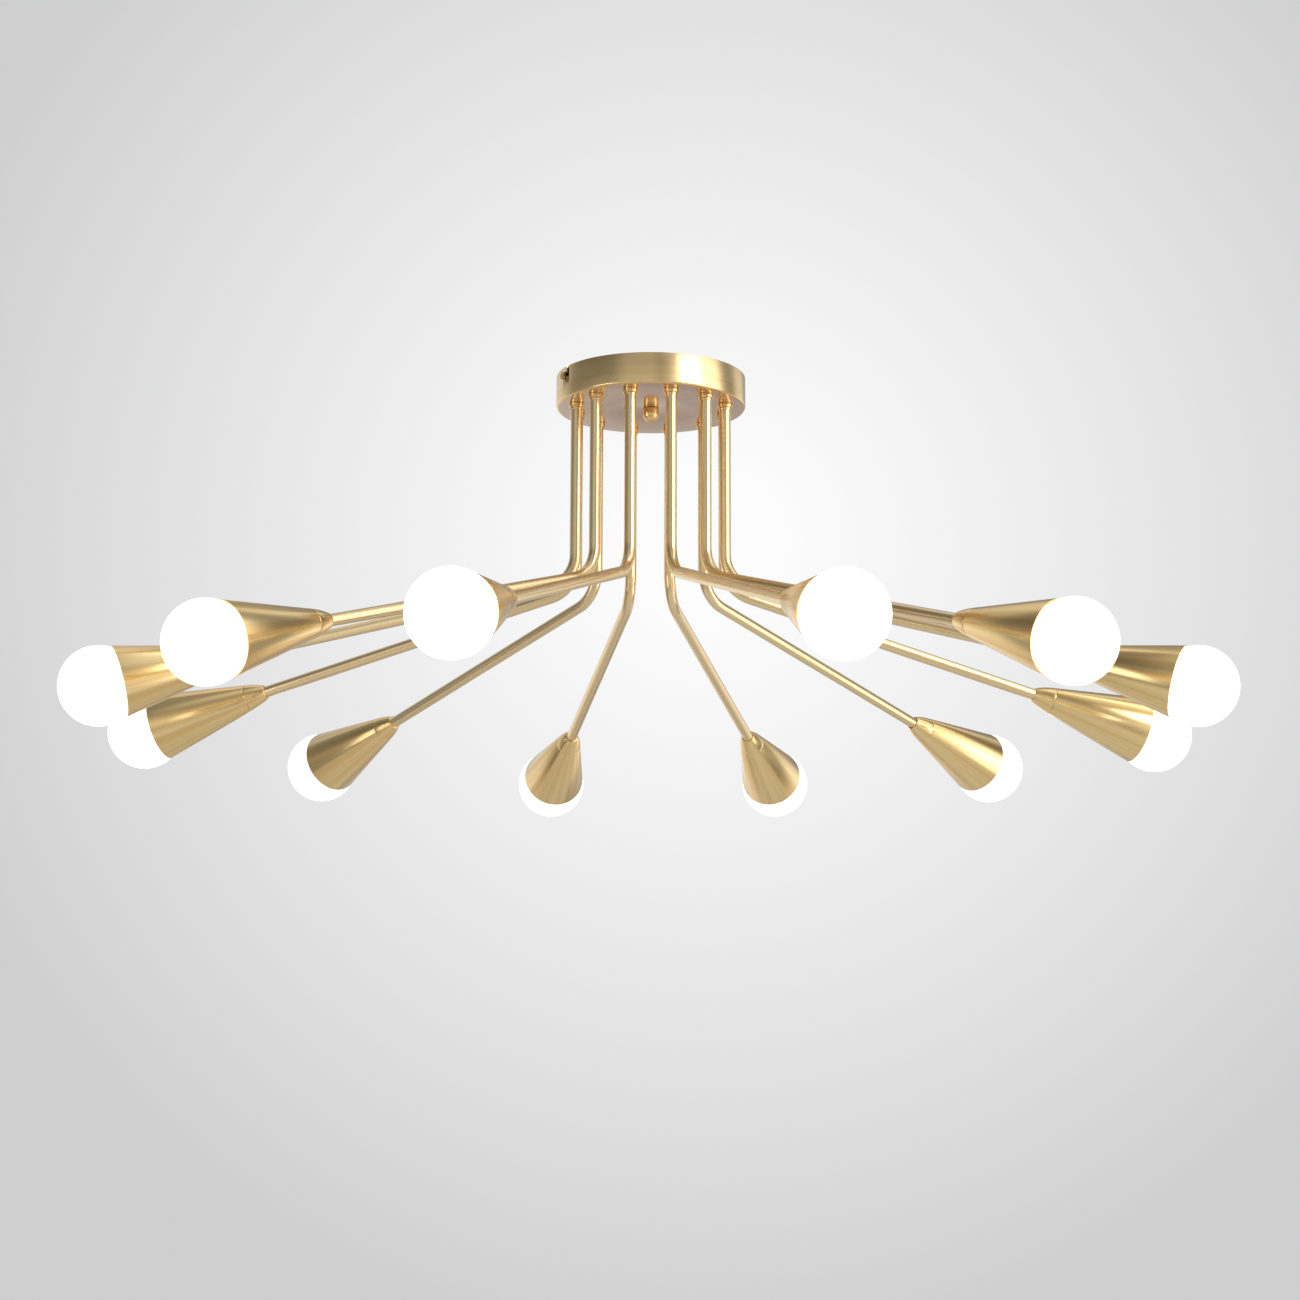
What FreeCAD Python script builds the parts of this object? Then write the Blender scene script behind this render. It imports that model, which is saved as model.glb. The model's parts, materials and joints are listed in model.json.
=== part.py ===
"""Twelve-arm semi-flush ceiling light: a drum canopy, twelve bent brass arms and twelve opal lamps.

Millimetres. The origin is the centre of the ceiling plane and +Z points up. Arm 1 hangs
half a pitch to the right of -Y, and the arms count anticlockwise seen from above.
"""
import FreeCAD, Part
import math
import os
import re
import Sketcher

V = FreeCAD.Vector
doc = FreeCAD.newDocument("ceiling_light")

# ---------------------------------------------------------------- driving sizes
SIZES = {
    # canopy drum
    "canopy_radius": 101,
    "canopy_height": 33,
    "canopy_wall": 1.5,
    "canopy_floor": 2,
    "canopy_edge_round": 2.5,
    "slot_width": 5,
    "slot_drop": 9,
    "slot_reach": 9,
    # the twelve arms
    "arm_count": 12,
    "rod_circle_radius": 81.5,
    "tube_radius": 6,
    "tube_wall": 1,
    "corner_drop": 226,
    "arm_slope": 15.8,
    "bend_radius": 38,
    "nipple_radius": 4.9,
    "nipple_bore": 3.4,
    "nipple_grip": 14,
    "cable_radius": 2.4,
    # what holds each rod in the canopy floor
    "collar_radius": 8,
    "collar_height": 4.5,
    "step_lip": 0.75,
    "step_height": 2.7,
    "washer_radius": 8.5,
    "washer_thick": 1,
    "nut_flats": 14,
    "nut_height": 4,
    # the lamp, measured along the slope from the arm's corner
    "neck_start": 361,
    "neck_seam": 382,
    "rim_place": 486.4,
    "globe_place": 506,
    "neck_tip_wall": 1.3,
    "neck_swell": 0.7,
    "seam_radius": 14.2,
    "shade_wall": 1,
    "shade_top": 2,
    "globe_radius": 40,
    "glass_wall": 2,
    "glass_neck_radius": 13,
    "glass_neck_length": 10,
    "holder_radius": 10.9,
    "holder_length": 26,
    "lamp_radius": 6.5,
    "lamp_length": 40,
    "tube_entry": 11,
    # finial at the middle of the canopy floor
    "finial_radius": 8.5,
    "finial_height": 14.5,
    "finial_skirt": 6,
    "stud_radius": 3,
    "stud_length": 19,
    # ceiling bracket and its side screws
    "bracket_angle": 25,
    "bracket_width": 30,
    "bracket_thick": 2,
    "bracket_tab": 16,
    "screw_hole_radius": 2.6,
    "screw_circle_radius": 45,
    "cable_hole_radius": 6,
    "cable_hole_place": 22,
    "side_screw_radius": 2,
    "side_screw_head": 3.8,
    "side_screw_head_height": 2.5,
    "side_screw_length": 10,
    # wiring inside the canopy
    "terminal_length": 40,
    "terminal_width": 18,
    "terminal_height": 16,
    "terminal_place": 36,
    "loom_radius": 60,
    "loom_thick": 2.2,
    "lead_radius": 1.6,
    "earth_place": 40,
    "earth_radius": 4,
    "earth_height": 7,
    # clearances
    "fit_gap": 0.1,
    "running_gap": 0.05,
    "seat_gap": 0.3,
    "rim_gap": 0.5,
}
# how far each arm is turned from straight outwards, in degrees
ARM_SWIVELS = [2, -4, -5, -2, -0.5, -1, -3, -1.5, 2, 2.5, 0.5, -2.5]

sheet = doc.addObject("Spreadsheet::Sheet", "Sizes")


def add_size(name, number):
    """Write one driving size into the next row of the sheet."""
    row = add_size.next_row
    sheet.set("A%d" % row, name)
    sheet.set("B%d" % row, str(number))
    sheet.setAlias("B%d" % row, name)
    add_size.next_row = row + 1


add_size.next_row = 1
for size_name, size_number in SIZES.items():
    add_size(size_name, size_number)
for place, swivel in enumerate(ARM_SWIVELS, start=1):
    add_size("swivel_%s" % "abcdefghijkl"[place - 1], swivel)
doc.recompute()

ALIASES = set(SIZES) | {"swivel_%s" % letter for letter in "abcdefghijkl"}


def named(text):
    """Turn bare size names into references to the sheet."""
    return re.sub(r"[a-z_]+", lambda hit: "Sizes." + hit.group() if hit.group() in ALIASES else hit.group(),
                  str(text))


def number(text):
    """Work an expression out from the sheet as it stands."""
    return float(sheet.evalExpression(named(text)))


# ---------------------------------------------------------------- drawing helpers
def origin_plane(body, role):
    """Find one of a body's own origin planes."""
    return next(f for f in body.Origin.OriginFeatures if f.Role == role)


def new_sketch(body, label, role, height="0"):
    """Add a sketch on an origin plane of its own body, lifted along the plane's normal."""
    sketch = body.newObject("Sketcher::SketchObject", label)
    sketch.AttachmentSupport = [(origin_plane(body, role), "")]
    sketch.MapMode = "FlatFace"
    sketch.setExpression("AttachmentOffset.Base.z", named(height))
    return sketch


def pin_point(sketch, index, end, x_text, y_text):
    """Tie one end of a sketch edge to two sheet expressions."""
    for kind, text in (("DistanceX", x_text), ("DistanceY", y_text)):
        place = sketch.addConstraint(Sketcher.Constraint(kind, -1, 1, index, end, number(text)))
        sketch.setExpression("Constraints[%d]" % place, named(text))


def draw_outline(sketch, corners, closed=True):
    """Draw lines and arcs through corners (x, y) or (x, y, centre_x, centre_y, radius, turn).

    The longer form makes the edge that leaves this corner an arc: turn is 1 for
    anticlockwise and -1 for clockwise.
    """
    count = len(corners)
    edges = count if closed else count - 1
    for index in range(edges):
        here = corners[index]
        there = corners[(index + 1) % count]
        start = V(number(here[0]), number(here[1]), 0)
        end = V(number(there[0]), number(there[1]), 0)
        if len(here) == 2:
            sketch.addGeometry(Part.LineSegment(start, end))
            continue
        centre = V(number(here[2]), number(here[3]), 0)
        circle = Part.Circle(centre, V(0, 0, 1), number(here[4]))
        first, last = (start, end) if here[5] > 0 else (end, start)
        from_angle = math.atan2(first.y - centre.y, first.x - centre.x)
        to_angle = math.atan2(last.y - centre.y, last.x - centre.x)
        if to_angle <= from_angle:
            to_angle += 2 * math.pi
        sketch.addGeometry(Part.ArcOfCircle(circle, from_angle, to_angle))
    for index in range(edges):
        here = corners[index]
        there = corners[(index + 1) % count]
        turned = len(here) > 2 and here[5] < 0
        pin_point(sketch, index, 2 if turned else 1, here[0], here[1])
        if len(here) > 2 or (not closed and index == edges - 1):
            pin_point(sketch, index, 1 if turned else 2, there[0], there[1])
        else:
            after = corners[(index + 1) % count]
            next_end = 2 if len(after) > 2 and after[5] < 0 else 1
            sketch.addConstraint(Sketcher.Constraint("Coincident", index, 2, (index + 1) % edges, next_end))
        if len(here) > 2:
            place = sketch.addConstraint(Sketcher.Constraint("Radius", index, number(here[4])))
            sketch.setExpression("Constraints[%d]" % place, named(here[4]))


def turned_body(name, corners):
    """A body turned about its own Z axis from a closed outline of (radius, height) corners."""
    body = doc.addObject("PartDesign::Body", name)
    sketch = new_sketch(body, name + "_outline", "XZ_Plane")
    draw_outline(sketch, corners)
    turn = body.newObject("PartDesign::Revolution", name + "_turn")
    turn.Profile = sketch
    turn.ReferenceAxis = (sketch, ["V_Axis"])
    turn.Angle = 360
    return body


def ring_body(name, outer, inner, low, high):
    """A plain turned ring between two heights."""
    return turned_body(name, [(inner, low), (outer, low), (outer, high), (inner, high)])


def cylinder(name, radius, height, low="0"):
    """A plain cylinder on the Z axis."""
    piece = doc.addObject("Part::Cylinder", name)
    piece.setExpression("Radius", named(radius))
    piece.setExpression("Height", named(height))
    piece.setExpression("Placement.Base.z", named(low))
    return piece


def box(name, length, width, height, x="0", y="0", z="0"):
    """A box centred on x and y, rising from z."""
    piece = doc.addObject("Part::Box", name)
    piece.setExpression("Length", named(length))
    piece.setExpression("Width", named(width))
    piece.setExpression("Height", named(height))
    piece.setExpression("Placement.Base.x", named("(%s) - (%s) / 2" % (x, length)))
    piece.setExpression("Placement.Base.y", named("(%s) - (%s) / 2" % (y, width)))
    piece.setExpression("Placement.Base.z", named(z))
    return piece


def across(name, radius, height, x, y, z, angle="90"):
    """A cylinder lying in the XZ plane, its axis turned from +Z towards +X."""
    piece = doc.addObject("Part::Cylinder", name)
    piece.Placement = FreeCAD.Placement(V(), FreeCAD.Rotation(V(0, 1, 0), 90))
    piece.setExpression("Radius", named(radius))
    piece.setExpression("Height", named(height))
    piece.setExpression("Placement.Base.x", named(x))
    piece.setExpression("Placement.Base.y", named(y))
    piece.setExpression("Placement.Base.z", named(z))
    piece.setExpression("Placement.Rotation.Angle", named(angle))
    return piece


def group(name, members, x="0", y="0", z="0", angle="0", axis=(0, 0, 1)):
    """Separate solids placed together."""
    piece = doc.addObject("Part::Compound", name)
    piece.Links = members
    piece.Placement = FreeCAD.Placement(V(), FreeCAD.Rotation(V(*axis), 1))
    piece.setExpression("Placement.Base.x", named(x))
    piece.setExpression("Placement.Base.y", named(y))
    piece.setExpression("Placement.Base.z", named(z))
    piece.setExpression("Placement.Rotation.Angle", named(angle))
    return piece


def cut(name, base, tool):
    """Base with the tool taken away."""
    piece = doc.addObject("Part::Cut", name)
    piece.Base = base
    piece.Tool = tool
    return piece


def fuse(name, members):
    """Members melted into one solid."""
    piece = doc.addObject("Part::MultiFuse", name)
    piece.Shapes = members
    piece.Refine = True
    return piece


def arm_angle(arm):
    """Where an arm's rod stands round the canopy."""
    return "-90 + (%d - 0.5) * 360 / arm_count" % arm


def at_arm(name, members, arm, swivel=True):
    """Place pieces drawn in an arm's own frame, with the rod on Z and the arm along +X."""
    turn = arm_angle(arm)
    angle = turn + " + swivel_%s" % "abcdefghijkl"[arm - 1] if swivel else turn
    return group(name, members, "rod_circle_radius * cos(%s)" % turn,
                 "rod_circle_radius * sin(%s)" % turn, "0", angle)


# ---------------------------------------------------------------- canopy
BOTTOM = "-canopy_height"
FLOOR_TOP = "-canopy_height + canopy_floor"
HOLE_RADIUS = "(nipple_radius + fit_gap)"


def make_canopy():
    """Spun drum, open at the ceiling, with twelve rod holes, a stud hole and two bayonet slots."""
    edge = "canopy_edge_round"
    inner = "canopy_radius - canopy_wall"
    drum = turned_body("canopy_drum", [
        ("0", BOTTOM),
        ("canopy_radius - " + edge, BOTTOM, "canopy_radius - " + edge, BOTTOM + " + " + edge, edge, 1),
        ("canopy_radius", BOTTOM + " + " + edge),
        ("canopy_radius", "0"),
        (inner, "0"),
        (inner, FLOOR_TOP),
        ("0", FLOOR_TOP),
    ])
    holes = [cylinder("rod_hole_%02d" % arm, HOLE_RADIUS, "canopy_height", BOTTOM + " - 1")
             for arm in range(1, ARM_COUNT + 1)]
    placed = [at_arm("rod_hole_at_%02d" % arm, [hole], arm, swivel=False)
              for arm, hole in enumerate(holes, start=1)]
    stud_hole = cylinder("stud_hole", "stud_radius + fit_gap", "canopy_height", BOTTOM + " - 1")
    slots = []
    for side, turn in (("near", "bracket_angle + 180"), ("far", "bracket_angle")):
        upright = box("slot_upright_" + side, "canopy_wall * 8", "slot_width",
                      "slot_drop + slot_width / 2 + 1", "canopy_radius", "slot_reach",
                      "-slot_drop - slot_width / 2")
        level = box("slot_level_" + side, "canopy_wall * 8", "slot_reach + slot_width", "slot_width",
                    "canopy_radius", "slot_reach / 2", "-slot_drop - slot_width / 2")
        slots.append(group("slot_" + side, [fuse("slot_tool_" + side, [upright, level])], angle=turn))
    tools = fuse("canopy_tools", placed + [stud_hole] + slots)
    return cut("canopy", drum, tools)


# ---------------------------------------------------------------- arm pieces, in an arm's own frame
TUBE_TOP = "-(canopy_height + collar_height + step_height + running_gap)"
BEND_SETBACK = "bend_radius * tan((90 - arm_slope) / 2)"


def arm_path(sketch, top, end):
    """Draw the rod, the bend and the slope: down from top, round, and out to end along the slope."""
    low = "-corner_drop + " + BEND_SETBACK
    draw_outline(sketch, [
        ("0", top),
        ("0", low, "bend_radius", low, "bend_radius", 1),
        (BEND_SETBACK + " * cos(arm_slope)", "-corner_drop - " + BEND_SETBACK + " * sin(arm_slope)"),
        ("(%s) * cos(arm_slope)" % end, "-corner_drop - (%s) * sin(arm_slope)" % end),
    ], closed=False)


def swept_body(name, top, end, radius, bore=None):
    """A round bar or tube along the arm's path."""
    body = doc.addObject("PartDesign::Body", name)
    path = new_sketch(body, name + "_path", "XZ_Plane")
    arm_path(path, top, end)
    section = new_sketch(body, name + "_section", "XY_Plane", top)
    rims = [radius] if bore is None else [radius, bore]
    for index, rim in enumerate(rims):
        section.addGeometry(Part.Circle(V(), V(0, 0, 1), number(rim)))
        section.addConstraint(Sketcher.Constraint("Coincident", index, 3, -1, 1))
        place = section.addConstraint(Sketcher.Constraint("Radius", index, number(rim)))
        section.setExpression("Constraints[%d]" % place, named(rim))
    doc.recompute()
    pipe = body.newObject("PartDesign::AdditivePipe", name + "_sweep")
    pipe.Profile = section
    pipe.Spine = (path, ["Edge1", "Edge2", "Edge3"])
    return body


NUT_BOTTOM = "(-canopy_height + canopy_floor + washer_thick + 2 * running_gap)"
NIPPLE_TOP = "(%s + nut_height + 1.5)" % NUT_BOTTOM


def make_arm_masters():
    """The bent tube with the threaded nipple in its top."""
    tube = swept_body("tube_master", TUBE_TOP, "neck_start + tube_entry", "tube_radius",
                      "tube_radius - tube_wall")
    nipple = ring_body("nipple_master", "nipple_radius", "nipple_bore", TUBE_TOP + " - nipple_grip",
                       NIPPLE_TOP)
    return [tube, nipple]


def lamp_axis(name, members):
    """Lay pieces drawn along +Z from the arm's corner onto the slope."""
    return group(name, members, z="-corner_drop", angle="90 + arm_slope", axis=(0, 1, 0))


# the cone's rim closes on the globe with a small gap
RIM_RADIUS = "(sqrt(globe_radius ^ 2 - (globe_place - rim_place) ^ 2) + rim_gap + shade_wall)"


def make_shade_masters():
    """Neck cap and cone: two turned brass shells that meet at a seam."""
    bore = "tube_radius + fit_gap"
    pipe = HOLE_RADIUS
    entry_end = "neck_start + tube_entry + running_gap"
    tip = "(tube_radius + neck_tip_wall)"
    # the cap's side swells outwards, as an arc from its tip to the seam
    across_half = "((seam_radius - %s) / 2)" % tip
    along_half = "((neck_seam - neck_start) / 2)"
    chord_half = "sqrt(%s ^ 2 + %s ^ 2)" % (across_half, along_half)
    arc = "((%s ^ 2 + neck_swell ^ 2) / (2 * neck_swell))" % chord_half
    inset = "((%s - neck_swell) / %s)" % (arc, chord_half)
    centre_across = "%s + %s - %s * %s" % (tip, across_half, inset, along_half)
    centre_along = "neck_start + %s + %s * %s" % (along_half, inset, across_half)
    cap = turned_body("neck_master", [
        (bore, "neck_start"),
        (tip, "neck_start", centre_across, centre_along, arc, 1),
        ("seam_radius", "neck_seam"),
        (pipe, "neck_seam"),
        (pipe, entry_end),
        (bore, entry_end),
    ])
    cone = turned_body("cone_master", [
        (pipe, "neck_seam"),
        ("seam_radius", "neck_seam"),
        (RIM_RADIUS, "rim_place"),
        (RIM_RADIUS + " - shade_wall", "rim_place"),
        ("seam_radius - shade_wall", "neck_seam + shade_top"),
        (pipe, "neck_seam + shade_top"),
    ])
    return [lamp_axis("neck_on_slope", [cap]), lamp_axis("cone_on_slope", [cone])]


GLASS_BACK = "sqrt(globe_radius ^ 2 - glass_neck_radius ^ 2)"
GLASS_BORE = "(glass_neck_radius - glass_wall)"
GLASS_INSIDE = "(globe_radius - glass_wall)"
GLASS_INNER_BACK = "sqrt(%s ^ 2 - %s ^ 2)" % (GLASS_INSIDE, GLASS_BORE)


def make_globe_master():
    """Blown opal globe with a short open neck towards the lampholder."""
    mouth = "globe_place - %s - glass_neck_length" % GLASS_BACK
    globe = turned_body("globe_master", [
        (GLASS_BORE, mouth),
        ("glass_neck_radius", mouth),
        ("glass_neck_radius", "globe_place - " + GLASS_BACK, "0", "globe_place", "globe_radius", 1),
        ("0", "globe_place + globe_radius"),
        ("0", "globe_place + " + GLASS_INSIDE, "0", "globe_place", GLASS_INSIDE, -1),
        (GLASS_BORE, "globe_place - " + GLASS_INNER_BACK),
    ])
    return lamp_axis("globe_on_slope", [globe])


HOLDER_BACK = "(globe_place - %s - glass_neck_length - 12)" % GLASS_BACK


def make_fitting_masters():
    """What the arm holds inside: lead, threaded pipe, ceramic lampholder and capsule lamp."""
    holder = cylinder("holder_master", "holder_radius", "holder_length", HOLDER_BACK)
    pipe_low = "neck_start + tube_entry + 2 * running_gap"
    pipe = ring_body("pipe_master", "nipple_radius", "nipple_bore", pipe_low, HOLDER_BACK)
    lamp = cylinder("lamp_master", "lamp_radius", "lamp_length", HOLDER_BACK + " + holder_length")
    lead = swept_body("lead_master", NIPPLE_TOP + " + 0.5", HOLDER_BACK + " - seat_gap", "cable_radius")
    return [lead, lamp_axis("holder_on_slope", [holder, pipe, lamp])]


# ---------------------------------------------------------------- fixings in the canopy floor
def make_collar_masters():
    """Two stepped rings between the canopy and each rod."""
    bore = HOLE_RADIUS
    collar = ring_body("collar_master", "collar_radius", bore, BOTTOM + " - collar_height", BOTTOM)
    step = ring_body("step_master", "tube_radius + step_lip", bore,
                     BOTTOM + " - collar_height - step_height", BOTTOM + " - collar_height")
    return collar, step


def make_washer_master():
    """Plain washer on the canopy floor."""
    return ring_body("washer_master", "washer_radius", HOLE_RADIUS,
                     FLOOR_TOP + " + running_gap", FLOOR_TOP + " + running_gap + washer_thick")


def make_nut_master():
    """Thin hexagon nut on the rod's nipple."""
    body = doc.addObject("Part::Prism", "nut_blank")
    body.Polygon = 6
    body.setExpression("Circumradius", named("nut_flats / sqrt(3)"))
    body.setExpression("Height", named("nut_height"))
    body.setExpression("Placement.Base.z", named(NUT_BOTTOM))
    bore = cylinder("nut_bore", HOLE_RADIUS, "nut_height + 2", NUT_BOTTOM + " - 1")
    return cut("nut_master", body, bore)


def repeated(name, master, swivel=False):
    """One master at every rod, as separate solids in one node."""
    copies = [at_arm("%s_%02d_copy" % (name, arm), [master], arm, swivel)
              for arm in range(1, ARM_COUNT + 1)]
    return group(name, copies)


# ---------------------------------------------------------------- middle and inside of the canopy
def make_finial():
    """Domed cap nut under the middle of the canopy, bored for its stud."""
    dome = "finial_radius"
    shoulder = BOTTOM + " - finial_skirt"
    tip = "%s - finial_height" % BOTTOM
    # the dome is an arc through the shoulder and the tip, square to the axis at the tip
    rise = "(finial_height - finial_skirt)"
    arc = "((%s ^ 2 + %s ^ 2) / (2 * %s))" % (dome, rise, rise)
    return turned_body("finial_nut", [
        ("stud_radius + fit_gap", BOTTOM),
        ("stud_radius + fit_gap", "%s - stud_length / 2 - seat_gap" % BOTTOM),
        ("0", "%s - stud_length / 2 - seat_gap" % BOTTOM),
        ("0", tip, "0", "%s + %s" % (tip, arc), arc, 1),
        (dome, shoulder),
        (dome, BOTTOM),
    ])


def make_stud():
    """Threaded stud through the canopy floor, with its hexagon nut above."""
    stud = cylinder("centre_stud_rod", "stud_radius", "stud_length", "%s - stud_length / 2" % BOTTOM)
    blank = doc.addObject("Part::Prism", "stud_nut_blank")
    blank.Polygon = 6
    blank.setExpression("Circumradius", named("stud_radius * 2"))
    blank.setExpression("Height", named("stud_radius * 1.6"))
    blank.setExpression("Placement.Base.z", named(FLOOR_TOP))
    bore = cylinder("stud_nut_bore", "stud_radius + fit_gap", "stud_radius * 4", FLOOR_TOP + " - 1")
    return group("centre_stud", [stud, cut("stud_nut", blank, bore)])


BRACKET_HALF = "(canopy_radius - canopy_wall - seat_gap)"
# how far the round wall stands in at the corners of a tab
TAB_BOW = "(%s - sqrt(%s ^ 2 - (bracket_width / 2) ^ 2))" % (BRACKET_HALF, BRACKET_HALF)


def make_bracket():
    """Strip bracket with a turned-down tab at each end, two ceiling holes and a cable hole."""
    strip = box("bracket_strip", "2 * " + BRACKET_HALF, "bracket_width", "bracket_thick",
                z="-bracket_thick")
    envelope = cylinder("bracket_round", BRACKET_HALF, "bracket_tab", "-bracket_tab")
    tabs = []
    for side, sign in (("right", "1"), ("left", "-1")):
        place = "%s * (%s - bracket_thick / 2 - %s)" % (sign, BRACKET_HALF, TAB_BOW)
        tabs.append(box("bracket_tab_" + side, "bracket_thick", "bracket_width", "bracket_tab",
                        place, z="-bracket_tab"))
    bar = fuse("bracket_bar", [strip] + tabs)
    trimmed = doc.addObject("Part::Common", "bracket_trimmed")
    trimmed.Base = bar
    trimmed.Tool = envelope
    tools = []
    for side, sign in (("right", "1"), ("left", "-1")):
        hole = cylinder("ceiling_hole_" + side, "screw_hole_radius", "bracket_thick + 2",
                        "-bracket_thick - 1")
        tools.append(group("ceiling_hole_at_" + side, [hole], sign + " * screw_circle_radius"))
    cable = cylinder("cable_hole", "cable_hole_radius", "bracket_thick + 2", "-bracket_thick - 1")
    tools.append(group("cable_hole_at", [cable], "cable_hole_place"))
    tools.append(across("tab_holes", "side_screw_radius + fit_gap", "4 * canopy_radius",
                        "-2 * canopy_radius", "0", "-slot_drop"))
    piece = cut("bracket_cut", trimmed, fuse("bracket_tools", tools))
    return group("ceiling_bracket", [piece], angle="bracket_angle")


def make_side_screws():
    """Two screws through the bayonet slots into the bracket's tabs."""
    screws = []
    for side, turn in (("near", "bracket_angle + 180"), ("far", "bracket_angle")):
        shank = across("side_screw_shank_" + side, "side_screw_radius",
                       "side_screw_length + side_screw_head_height / 2",
                       "canopy_radius + seat_gap - side_screw_length", "0", "-slot_drop")
        head = across("side_screw_head_" + side, "side_screw_head", "side_screw_head_height",
                      "canopy_radius + seat_gap", "0", "-slot_drop")
        screws.append(group("side_screw_" + side, [fuse("side_screw_whole_" + side, [shank, head])],
                            angle=turn))
    return group("side_screws", screws)


def make_terminal_block():
    """Terminal block on the canopy floor."""
    return box("terminal_block", "terminal_length", "terminal_width", "terminal_height",
               y="-terminal_place", z=FLOOR_TOP)


def make_earth_terminal():
    """Earth stud and nut on the canopy floor."""
    return group("earth_terminal", [cylinder("earth_post", "earth_radius", "earth_height", FLOOR_TOP)],
                 "-earth_place", "0")


def make_wiring_loom():
    """Ring of bundled leads in the canopy, a lead to every rod and a tail to the terminal block."""
    ring = doc.addObject("Part::Torus", "loom_ring")
    ring.setExpression("Radius1", named("loom_radius"))
    ring.setExpression("Radius2", named("loom_thick"))
    height = "(%s + 2.5 + lead_radius + cable_radius)" % NIPPLE_TOP
    ring.setExpression("Placement.Base.z", named(height))
    leads = []
    for arm in range(1, ARM_COUNT + 1):
        lead = across("loom_lead_%02d" % arm, "lead_radius", "rod_circle_radius - loom_radius",
                      "-rod_circle_radius + loom_radius", "0", height)
        leads.append(at_arm("loom_lead_at_%02d" % arm, [lead], arm, swivel=False))
    start = "(terminal_place + terminal_width / 2 + seat_gap)"
    tail = cylinder("loom_tail", "lead_radius", "loom_radius - " + start)
    tail.Placement = FreeCAD.Placement(V(), FreeCAD.Rotation(V(1, 0, 0), 90))
    tail.setExpression("Placement.Base.y", named("-" + start))
    tail.setExpression("Placement.Base.z", named(height))
    return fuse("wiring_loom", [ring, tail] + leads)


# ---------------------------------------------------------------- build
ARM_COUNT = int(number("arm_count"))


def make_all():
    """Make every sub-part, and return them in the order of the parts list."""
    nodes = [make_canopy(), make_finial(), make_stud(), make_bracket(), make_side_screws(),
             make_terminal_block(), make_earth_terminal(), make_wiring_loom()]
    collar, step = make_collar_masters()
    nodes.append(repeated("arm_collars", collar))
    nodes.append(repeated("arm_collar_steps", step))
    nodes.append(repeated("arm_washers", make_washer_master()))
    nodes.append(repeated("arm_nuts", make_nut_master()))
    masters = {
        "arm_tube": make_arm_masters(),
        "cone_shade": make_shade_masters(),
        "glass_globe": [make_globe_master()],
        "arm_fittings": make_fitting_masters(),
    }
    for arm in range(1, ARM_COUNT + 1):
        for kind, members in masters.items():
            nodes.append(at_arm("%s_%02d" % (kind, arm), members, arm))
    return nodes


def check_document():
    """Stop if any object failed to build."""
    for item in doc.Objects:
        if "Invalid" in item.State or "Error" in item.State:
            raise RuntimeError("%s did not build: %s" % (item.Name, item.State))


def check_part(piece):
    """Stop if a sub-part is empty or not a valid set of solids."""
    shape = piece.Shape
    if shape.isNull() or not shape.isValid() or not shape.Solids:
        raise RuntimeError("%s is not a valid solid" % piece.Label)


parts = make_all()
doc.recompute()
check_document()
os.makedirs("parts", exist_ok=True)
for part in parts:
    check_part(part)
for part in parts:
    part.Shape.exportStep(os.path.join("parts", part.Label + ".step"))
    print("%s: %d solids, %.1f mm3" % (part.Label, len(part.Shape.Solids), part.Shape.Volume))
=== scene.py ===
"""Looks of a twelve-arm brass ceiling light with cone shades and lit opal globes."""
import json
import math

import bpy
from mathutils import Matrix, Vector


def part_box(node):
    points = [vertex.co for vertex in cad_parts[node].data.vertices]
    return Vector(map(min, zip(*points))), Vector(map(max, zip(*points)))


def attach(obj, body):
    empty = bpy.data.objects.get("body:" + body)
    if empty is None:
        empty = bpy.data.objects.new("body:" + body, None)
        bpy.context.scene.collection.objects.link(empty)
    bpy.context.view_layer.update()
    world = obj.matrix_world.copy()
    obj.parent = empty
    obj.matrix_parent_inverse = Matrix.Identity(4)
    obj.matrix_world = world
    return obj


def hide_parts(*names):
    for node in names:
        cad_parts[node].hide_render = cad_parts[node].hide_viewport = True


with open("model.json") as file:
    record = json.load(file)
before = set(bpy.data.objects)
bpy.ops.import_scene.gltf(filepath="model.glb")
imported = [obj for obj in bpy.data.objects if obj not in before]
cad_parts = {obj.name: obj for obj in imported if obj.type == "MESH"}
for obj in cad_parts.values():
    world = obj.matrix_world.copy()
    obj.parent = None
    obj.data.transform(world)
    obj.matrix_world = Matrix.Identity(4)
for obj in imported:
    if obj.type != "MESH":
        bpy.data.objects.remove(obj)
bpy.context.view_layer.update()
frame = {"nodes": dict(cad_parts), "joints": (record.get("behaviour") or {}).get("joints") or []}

MM = 0.001
ARM_COUNT = 12

# canopy drum, in millimetres below the ceiling
CANOPY_RADIUS = 101
CANOPY_HEIGHT = 33
CANOPY_WALL = 1.5
CANOPY_FLOOR = 2
CANOPY_EDGE = 2.5
SLOT_TURN = 25
SLOT_WIDTH = 5
SLOT_DROP = 9
SLOT_REACH = 9

# rods and arms
ROD_CIRCLE = 81.5
TUBE_RADIUS = 6
TUBE_WALL = 1
COLLAR_RADIUS = 8
COLLAR_HEIGHT = 4.5
STEP_RADIUS = 6.75
STEP_HEIGHT = 2.7
CORNER_DROP = 226
ARM_SLOPE = 15.8
BEND_RADIUS = 38
ROD_BORE = 5
RUNNING_GAP = 0.05
FIT_GAP = 0.1
NIPPLE_RADIUS = 4.9
NIPPLE_BORE = 3.4
NIPPLE_TOP = 24.4
NIPPLE_GRIP = 14

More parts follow.
